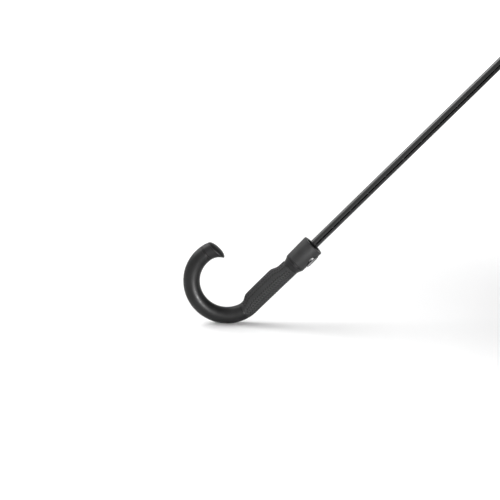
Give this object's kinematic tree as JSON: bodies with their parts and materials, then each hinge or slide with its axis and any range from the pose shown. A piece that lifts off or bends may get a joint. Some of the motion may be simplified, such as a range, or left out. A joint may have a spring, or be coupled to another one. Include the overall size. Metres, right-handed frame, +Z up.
{
  "type": "golf umbrella",
  "caption": "Open golf umbrella with a crook handle, push-button collar, sliding runner, folding ribs and stretchers and a vented canopy of gores.",
  "frame": {"origin": "middle of the bounding box's bottom: on the floor, under the umbrella as it stands open on its crook and two lowest rib tips", "axes": "+Z up; the shaft rises towards +X, 44.5 degrees from upright; +Y across the canopy"},
  "size_m": [1.02, 1.336, 0.9451],
  "materials": {
    "handle_plastic": "satin moulded plastic, fine grain",
    "grip_rubber": "dimpled soft-touch rubber",
    "collar_plastic": "satin moulded plastic",
    "button_plastic": "satin moulded plastic",
    "shaft_coat": "gloss black lacquer over a tube",
    "frame_plastic": "semi-gloss moulded plastic",
    "rib_fibre": "pultruded fibreglass, semi-gloss",
    "canopy_fabric": "plain-weave polyester pongee",
    "bright_steel": "bright wire",
    "dark_steel": "blackened steel"
  },
  "bodies": {
    "handle_and_shaft": {"crook_hook": "handle_plastic", "crook_end_cap": "handle_plastic", "crook_end_plate": "handle_plastic", "grip_sleeve": "grip_rubber", "collar": "collar_plastic", "button_pin": "bright_steel", "button_spring": "bright_steel", "shaft_tube": "shaft_coat", "shaft_pin": "bright_steel", "spring_plug": "dark_steel", "opening_spring": "bright_steel", "top_notch": "frame_plastic", "notch_wire": "bright_steel", "canopy_washer": "frame_plastic", "ferrule": "frame_plastic"},
    "runner": {"runner": "frame_plastic", "runner_wire": "bright_steel", "drive_slider": "dark_steel"},
    "push_button": {"push_button": "button_plastic"},
    "latch_plate": {"latch_plate": "dark_steel"},
    "rib_inner_1": {"rib_inner_1": "rib_fibre"},
    "rib_outer_1": {"rib_outer_1": "rib_fibre"},
    "stretcher_1": {"stretcher_1": "rib_fibre"},
    "canopy_upper_1": {"canopy_upper_1": "canopy_fabric"},
    "canopy_lower_1": {"canopy_lower_1": "canopy_fabric"},
    "rib_inner_2": {"rib_inner_2": "rib_fibre"},
    "rib_outer_2": {"rib_outer_2": "rib_fibre"},
    "stretcher_2": {"stretcher_2": "rib_fibre"},
    "canopy_upper_2": {"canopy_upper_2": "canopy_fabric"},
    "canopy_lower_2": {"canopy_lower_2": "canopy_fabric"},
    "rib_inner_3": {"rib_inner_3": "rib_fibre"},
    "rib_outer_3": {"rib_outer_3": "rib_fibre"},
    "stretcher_3": {"stretcher_3": "rib_fibre"},
    "canopy_upper_3": {"canopy_upper_3": "canopy_fabric"},
    "canopy_lower_3": {"canopy_lower_3": "canopy_fabric"},
    "rib_inner_4": {"rib_inner_4": "rib_fibre"},
    "rib_outer_4": {"rib_outer_4": "rib_fibre"},
    "stretcher_4": {"stretcher_4": "rib_fibre"},
    "canopy_upper_4": {"canopy_upper_4": "canopy_fabric"},
    "canopy_lower_4": {"canopy_lower_4": "canopy_fabric"},
    "rib_inner_5": {"rib_inner_5": "rib_fibre"},
    "rib_outer_5": {"rib_outer_5": "rib_fibre"},
    "stretcher_5": {"stretcher_5": "rib_fibre"},
    "canopy_upper_5": {"canopy_upper_5": "canopy_fabric"},
    "canopy_lower_5": {"canopy_lower_5": "canopy_fabric"},
    "rib_inner_6": {"rib_inner_6": "rib_fibre"},
    "rib_outer_6": {"rib_outer_6": "rib_fibre"},
    "stretcher_6": {"stretcher_6": "rib_fibre"},
    "canopy_upper_6": {"canopy_upper_6": "canopy_fabric"},
    "canopy_lower_6": {"canopy_lower_6": "canopy_fabric"},
    "rib_inner_7": {"rib_inner_7": "rib_fibre"},
    "rib_outer_7": {"rib_outer_7": "rib_fibre"},
    "stretcher_7": {"stretcher_7": "rib_fibre"},
    "canopy_upper_7": {"canopy_upper_7": "canopy_fabric"},
    "canopy_lower_7": {"canopy_lower_7": "canopy_fabric"},
    "rib_inner_8": {"rib_inner_8": "rib_fibre"},
    "rib_outer_8": {"rib_outer_8": "rib_fibre"},
    "stretcher_8": {"stretcher_8": "rib_fibre"},
    "canopy_upper_8": {"canopy_upper_8": "canopy_fabric"},
    "canopy_lower_8": {"canopy_lower_8": "canopy_fabric"}
  },
  "joints": [
    {"name": "runner_slide", "type": "slide", "parent": "handle_and_shaft", "child": "runner", "axis": [-0.7009, 0, -0.7133], "range_m": [0, 0.5952], "stiffness_N_per_m": 40, "springref_m": -0.4, "deforming": ["opening_spring", "canopy_upper_1", "canopy_lower_1", "canopy_upper_2", "canopy_lower_2", "canopy_upper_3", "canopy_lower_3", "canopy_upper_4", "canopy_lower_4", "canopy_upper_5", "canopy_lower_5", "canopy_upper_6", "canopy_lower_6", "canopy_upper_7", "canopy_lower_7", "canopy_upper_8", "canopy_lower_8"]},
    {"name": "button_press", "type": "hinge", "parent": "handle_and_shaft", "child": "push_button", "pos_m": [-0.32377, 0, 0.09534], "axis": [0, -1, 0], "range_deg": [0, 4], "stiffness_Nm_per_rad": 1, "springref_deg": -3.44, "deforming": ["button_spring"]},
    {"name": "latch_slide", "type": "slide", "parent": "handle_and_shaft", "child": "latch_plate", "axis": [-0.7133, 0, 0.7009], "range_m": [0, 0.0006]},
    {"name": "rib_fold_1", "type": "hinge", "parent": "handle_and_shaft", "child": "rib_inner_1", "pos_m": [0.2621, 0.00498, 0.69079], "axis": [-0.2729, 0.9239, 0.2682], "range_deg": [0, 74.59]},
    {"name": "rib_flex_1", "type": "hinge", "parent": "rib_inner_1", "child": "rib_outer_1", "pos_m": [0.45398, 0.15041, 0.38511], "axis": [0.2729, -0.9239, -0.2682], "range_deg": [0, 21.07]},
    {"name": "stretcher_fold_1", "type": "hinge", "parent": "rib_inner_1", "child": "stretcher_1", "pos_m": [0.44762, 0.14932, 0.3824], "axis": [0.2729, -0.9239, -0.2682], "range_deg": [0, 149.18]},
    {"name": "canopy_upper_fold_1", "type": "hinge", "parent": "handle_and_shaft", "child": "canopy_upper_1", "pos_m": [0.27051, 0, 0.69079], "axis": [0, 1, 0], "range_deg": [0, 72.31]},
    {"name": "canopy_lower_fold_1", "type": "hinge", "parent": "handle_and_shaft", "child": "canopy_lower_1", "pos_m": [0.21319, 0, 0.85168], "axis": [0, 1, 0], "range_deg": [0, 52.48]},
    {"name": "rib_fold_2", "type": "hinge", "parent": "handle_and_shaft", "child": "rib_inner_2", "pos_m": [0.25708, 0.01201, 0.69573], "axis": [-0.659, 0.3827, 0.6476], "range_deg": [0, 74.59]},
    {"name": "rib_flex_2", "type": "hinge", "parent": "rib_inner_2", "child": "rib_outer_2", "pos_m": [0.30227, 0.36312, 0.53421], "axis": [0.659, -0.3827, -0.6476], "range_deg": [0, 21.07]},
    {"name": "stretcher_fold_2", "type": "hinge", "parent": "rib_inner_2", "child": "stretcher_2", "pos_m": [0.29701, 0.36049, 0.53041], "axis": [0.659, -0.3827, -0.6476], "range_deg": [0, 149.18]},
    {"name": "canopy_upper_fold_2", "type": "hinge", "parent": "handle_and_shaft", "child": "canopy_upper_2", "pos_m": [0.26675, 0.01274, 0.69449], "axis": [-0.5043, 0.7071, 0.4956], "range_deg": [0, 72.31]},
    {"name": "canopy_lower_fold_2", "type": "hinge", "parent": "handle_and_shaft", "child": "canopy_lower_2", "pos_m": [0.24152, -0.09592, 0.82383], "axis": [-0.5043, 0.7071, 0.4956], "range_deg": [0, 52.48]},
    {"name": "rib_fold_3", "type": "hinge", "parent": "handle_and_shaft", "child": "rib_inner_3", "pos_m": [0.24999, 0.01201, 0.7027], "axis": [-0.659, -0.3827, 0.6476], "range_deg": [0, 74.59]},
    {"name": "rib_flex_3", "type": "hinge", "parent": "rib_inner_3", "child": "rib_outer_3", "pos_m": [0.0877, 0.36312, 0.74506], "axis": [0.659, 0.3827, -0.6476], "range_deg": [0, 21.07]},
    {"name": "stretcher_fold_3", "type": "hinge", "parent": "rib_inner_3", "child": "stretcher_3", "pos_m": [0.084, 0.36049, 0.73973], "axis": [0.659, 0.3827, -0.6476], "range_deg": [0, 149.18]},
    {"name": "canopy_upper_fold_3", "type": "hinge", "parent": "handle_and_shaft", "child": "canopy_upper_3", "pos_m": [0.25766, 0.01802, 0.70341], "axis": [-0.7133, 0, 0.7009], "range_deg": [0, 72.31]},
    {"name": "canopy_lower_fold_3", "type": "hinge", "parent": "handle_and_shaft", "child": "canopy_lower_3", "pos_m": [0.30994, -0.13564, 0.7566], "axis": [-0.7133, 0, 0.7009], "range_deg": [0, 52.48]},
    {"name": "rib_fold_4", "type": "hinge", "parent": "handle_and_shaft", "child": "rib_inner_4", "pos_m": [0.24497, 0.00498, 0.70763], "axis": [-0.2729, -0.9239, 0.2682], "range_deg": [0, 74.59]},
    {"name": "rib_flex_4", "type": "hinge", "parent": "rib_inner_4", "child": "rib_outer_4", "pos_m": [-0.06402, 0.15041, 0.89415], "axis": [0.2729, 0.9239, -0.2682], "range_deg": [0, 21.07]},
    {"name": "stretcher_fold_4", "type": "hinge", "parent": "rib_inner_4", "child": "stretcher_4", "pos_m": [-0.06662, 0.14932, 0.88774], "axis": [0.2729, 0.9239, -0.2682], "range_deg": [0, 149.18]},
    {"name": "canopy_upper_fold_4", "type": "hinge", "parent": "handle_and_shaft", "child": "canopy_upper_4", "pos_m": [0.24858, 0.01274, 0.71234], "axis": [-0.5043, -0.7071, 0.4956], "range_deg": [0, 72.31]},
    {"name": "canopy_lower_fold_4", "type": "hinge", "parent": "handle_and_shaft", "child": "canopy_lower_4", "pos_m": [0.37835, -0.09592, 0.68938], "axis": [-0.5043, -0.7071, 0.4956], "range_deg": [0, 52.48]},
    {"name": "rib_fold_5", "type": "hinge", "parent": "handle_and_shaft", "child": "rib_inner_5", "pos_m": [0.24497, -0.00498, 0.70763], "axis": [0.2729, -0.9239, -0.2682], "range_deg": [0, 74.59]},
    {"name": "rib_flex_5", "type": "hinge", "parent": "rib_inner_5", "child": "rib_outer_5", "pos_m": [-0.06402, -0.15041, 0.89415], "axis": [-0.2729, 0.9239, 0.2682], "range_deg": [0, 21.07]},
    {"name": "stretcher_fold_5", "type": "hinge", "parent": "rib_inner_5", "child": "stretcher_5", "pos_m": [-0.06662, -0.14932, 0.88774], "axis": [-0.2729, 0.9239, 0.2682], "range_deg": [0, 149.18]},
    {"name": "canopy_upper_fold_5", "type": "hinge", "parent": "handle_and_shaft", "child": "canopy_upper_5", "pos_m": [0.24482, 0, 0.71604], "axis": [0, -1, 0], "range_deg": [0, 72.31]},
    {"name": "canopy_lower_fold_5", "type": "hinge", "parent": "handle_and_shaft", "child": "canopy_lower_5", "pos_m": [0.40668, 0, 0.66153], "axis": [0, -1, 0], "range_deg": [0, 52.48]},
    {"name": "rib_fold_6", "type": "hinge", "parent": "handle_and_shaft", "child": "rib_inner_6", "pos_m": [0.24999, -0.01201, 0.7027], "axis": [0.659, -0.3827, -0.6476], "range_deg": [0, 74.59]},
    {"name": "rib_flex_6", "type": "hinge", "parent": "rib_inner_6", "child": "rib_outer_6", "pos_m": [0.0877, -0.36312, 0.74506], "axis": [-0.659, 0.3827, 0.6476], "range_deg": [0, 21.07]},
    {"name": "stretcher_fold_6", "type": "hinge", "parent": "rib_inner_6", "child": "stretcher_6", "pos_m": [0.084, -0.36049, 0.73973], "axis": [-0.659, 0.3827, 0.6476], "range_deg": [0, 149.18]},
    {"name": "canopy_upper_fold_6", "type": "hinge", "parent": "handle_and_shaft", "child": "canopy_upper_6", "pos_m": [0.24858, -0.01274, 0.71234], "axis": [0.5043, -0.7071, -0.4956], "range_deg": [0, 72.31]},
    {"name": "canopy_lower_fold_6", "type": "hinge", "parent": "handle_and_shaft", "child": "canopy_lower_6", "pos_m": [0.37835, 0.09592, 0.68938], "axis": [0.5043, -0.7071, -0.4956], "range_deg": [0, 52.48]},
    {"name": "rib_fold_7", "type": "hinge", "parent": "handle_and_shaft", "child": "rib_inner_7", "pos_m": [0.25708, -0.01201, 0.69573], "axis": [0.659, 0.3827, -0.6476], "range_deg": [0, 74.59]},
    {"name": "rib_flex_7", "type": "hinge", "parent": "rib_inner_7", "child": "rib_outer_7", "pos_m": [0.30227, -0.36312, 0.53421], "axis": [-0.659, -0.3827, 0.6476], "range_deg": [0, 21.07]},
    {"name": "stretcher_fold_7", "type": "hinge", "parent": "rib_inner_7", "child": "stretcher_7", "pos_m": [0.29701, -0.36049, 0.53041], "axis": [-0.659, -0.3827, 0.6476], "range_deg": [0, 149.18]},
    {"name": "canopy_upper_fold_7", "type": "hinge", "parent": "handle_and_shaft", "child": "canopy_upper_7", "pos_m": [0.25766, -0.01802, 0.70341], "axis": [0.7133, 0, -0.7009], "range_deg": [0, 72.31]},
    {"name": "canopy_lower_fold_7", "type": "hinge", "parent": "handle_and_shaft", "child": "canopy_lower_7", "pos_m": [0.30994, 0.13564, 0.7566], "axis": [0.7133, 0, -0.7009], "range_deg": [0, 52.48]},
    {"name": "rib_fold_8", "type": "hinge", "parent": "handle_and_shaft", "child": "rib_inner_8", "pos_m": [0.2621, -0.00498, 0.69079], "axis": [0.2729, 0.9239, -0.2682], "range_deg": [0, 74.59]},
    {"name": "rib_flex_8", "type": "hinge", "parent": "rib_inner_8", "child": "rib_outer_8", "pos_m": [0.45398, -0.15041, 0.38511], "axis": [-0.2729, -0.9239, 0.2682], "range_deg": [0, 21.07]},
    {"name": "stretcher_fold_8", "type": "hinge", "parent": "rib_inner_8", "child": "stretcher_8", "pos_m": [0.44762, -0.14932, 0.3824], "axis": [-0.2729, -0.9239, 0.2682], "range_deg": [0, 149.18]},
    {"name": "canopy_upper_fold_8", "type": "hinge", "parent": "handle_and_shaft", "child": "canopy_upper_8", "pos_m": [0.26675, -0.01274, 0.69449], "axis": [0.5043, 0.7071, -0.4956], "range_deg": [0, 72.31]},
    {"name": "canopy_lower_fold_8", "type": "hinge", "parent": "handle_and_shaft", "child": "canopy_lower_8", "pos_m": [0.24152, 0.09592, 0.82383], "axis": [0.5043, 0.7071, -0.4956], "range_deg": [0, 52.48]}
  ],
  "couplings": [
    {"joint": "latch_slide", "follows": "button_press", "m_per_rad": 0.008594},
    {"joint": "rib_fold_1", "follows": "runner_slide", "rad_per_m": 2.187},
    {"joint": "rib_flex_1", "follows": "runner_slide", "rad_per_m": 0.61784},
    {"joint": "stretcher_fold_1", "follows": "runner_slide", "rad_per_m": 4.374},
    {"joint": "canopy_upper_fold_1", "follows": "runner_slide", "rad_per_m": 2.12},
    {"joint": "canopy_lower_fold_1", "follows": "runner_slide", "rad_per_m": 1.5387},
    {"joint": "rib_fold_2", "follows": "runner_slide", "rad_per_m": 2.187},
    {"joint": "rib_flex_2", "follows": "runner_slide", "rad_per_m": 0.61784},
    {"joint": "stretcher_fold_2", "follows": "runner_slide", "rad_per_m": 4.374},
    {"joint": "canopy_upper_fold_2", "follows": "runner_slide", "rad_per_m": 2.12},
    {"joint": "canopy_lower_fold_2", "follows": "runner_slide", "rad_per_m": 1.5387},
    {"joint": "rib_fold_3", "follows": "runner_slide", "rad_per_m": 2.187},
    {"joint": "rib_flex_3", "follows": "runner_slide", "rad_per_m": 0.61784},
    {"joint": "stretcher_fold_3", "follows": "runner_slide", "rad_per_m": 4.374},
    {"joint": "canopy_upper_fold_3", "follows": "runner_slide", "rad_per_m": 2.12},
    {"joint": "canopy_lower_fold_3", "follows": "runner_slide", "rad_per_m": 1.5387},
    {"joint": "rib_fold_4", "follows": "runner_slide", "rad_per_m": 2.187},
    {"joint": "rib_flex_4", "follows": "runner_slide", "rad_per_m": 0.61784},
    {"joint": "stretcher_fold_4", "follows": "runner_slide", "rad_per_m": 4.374},
    {"joint": "canopy_upper_fold_4", "follows": "runner_slide", "rad_per_m": 2.12},
    {"joint": "canopy_lower_fold_4", "follows": "runner_slide", "rad_per_m": 1.5387},
    {"joint": "rib_fold_5", "follows": "runner_slide", "rad_per_m": 2.187},
    {"joint": "rib_flex_5", "follows": "runner_slide", "rad_per_m": 0.61784},
    {"joint": "stretcher_fold_5", "follows": "runner_slide", "rad_per_m": 4.374},
    {"joint": "canopy_upper_fold_5", "follows": "runner_slide", "rad_per_m": 2.12},
    {"joint": "canopy_lower_fold_5", "follows": "runner_slide", "rad_per_m": 1.5387},
    {"joint": "rib_fold_6", "follows": "runner_slide", "rad_per_m": 2.187},
    {"joint": "rib_flex_6", "follows": "runner_slide", "rad_per_m": 0.61784},
    {"joint": "stretcher_fold_6", "follows": "runner_slide", "rad_per_m": 4.374},
    {"joint": "canopy_upper_fold_6", "follows": "runner_slide", "rad_per_m": 2.12},
    {"joint": "canopy_lower_fold_6", "follows": "runner_slide", "rad_per_m": 1.5387},
    {"joint": "rib_fold_7", "follows": "runner_slide", "rad_per_m": 2.187},
    {"joint": "rib_flex_7", "follows": "runner_slide", "rad_per_m": 0.61784},
    {"joint": "stretcher_fold_7", "follows": "runner_slide", "rad_per_m": 4.374},
    {"joint": "canopy_upper_fold_7", "follows": "runner_slide", "rad_per_m": 2.12},
    {"joint": "canopy_lower_fold_7", "follows": "runner_slide", "rad_per_m": 1.5387},
    {"joint": "rib_fold_8", "follows": "runner_slide", "rad_per_m": 2.187},
    {"joint": "rib_flex_8", "follows": "runner_slide", "rad_per_m": 0.61784},
    {"joint": "stretcher_fold_8", "follows": "runner_slide", "rad_per_m": 4.374},
    {"joint": "canopy_upper_fold_8", "follows": "runner_slide", "rad_per_m": 2.12},
    {"joint": "canopy_lower_fold_8", "follows": "runner_slide", "rad_per_m": 1.5387}
  ]
}
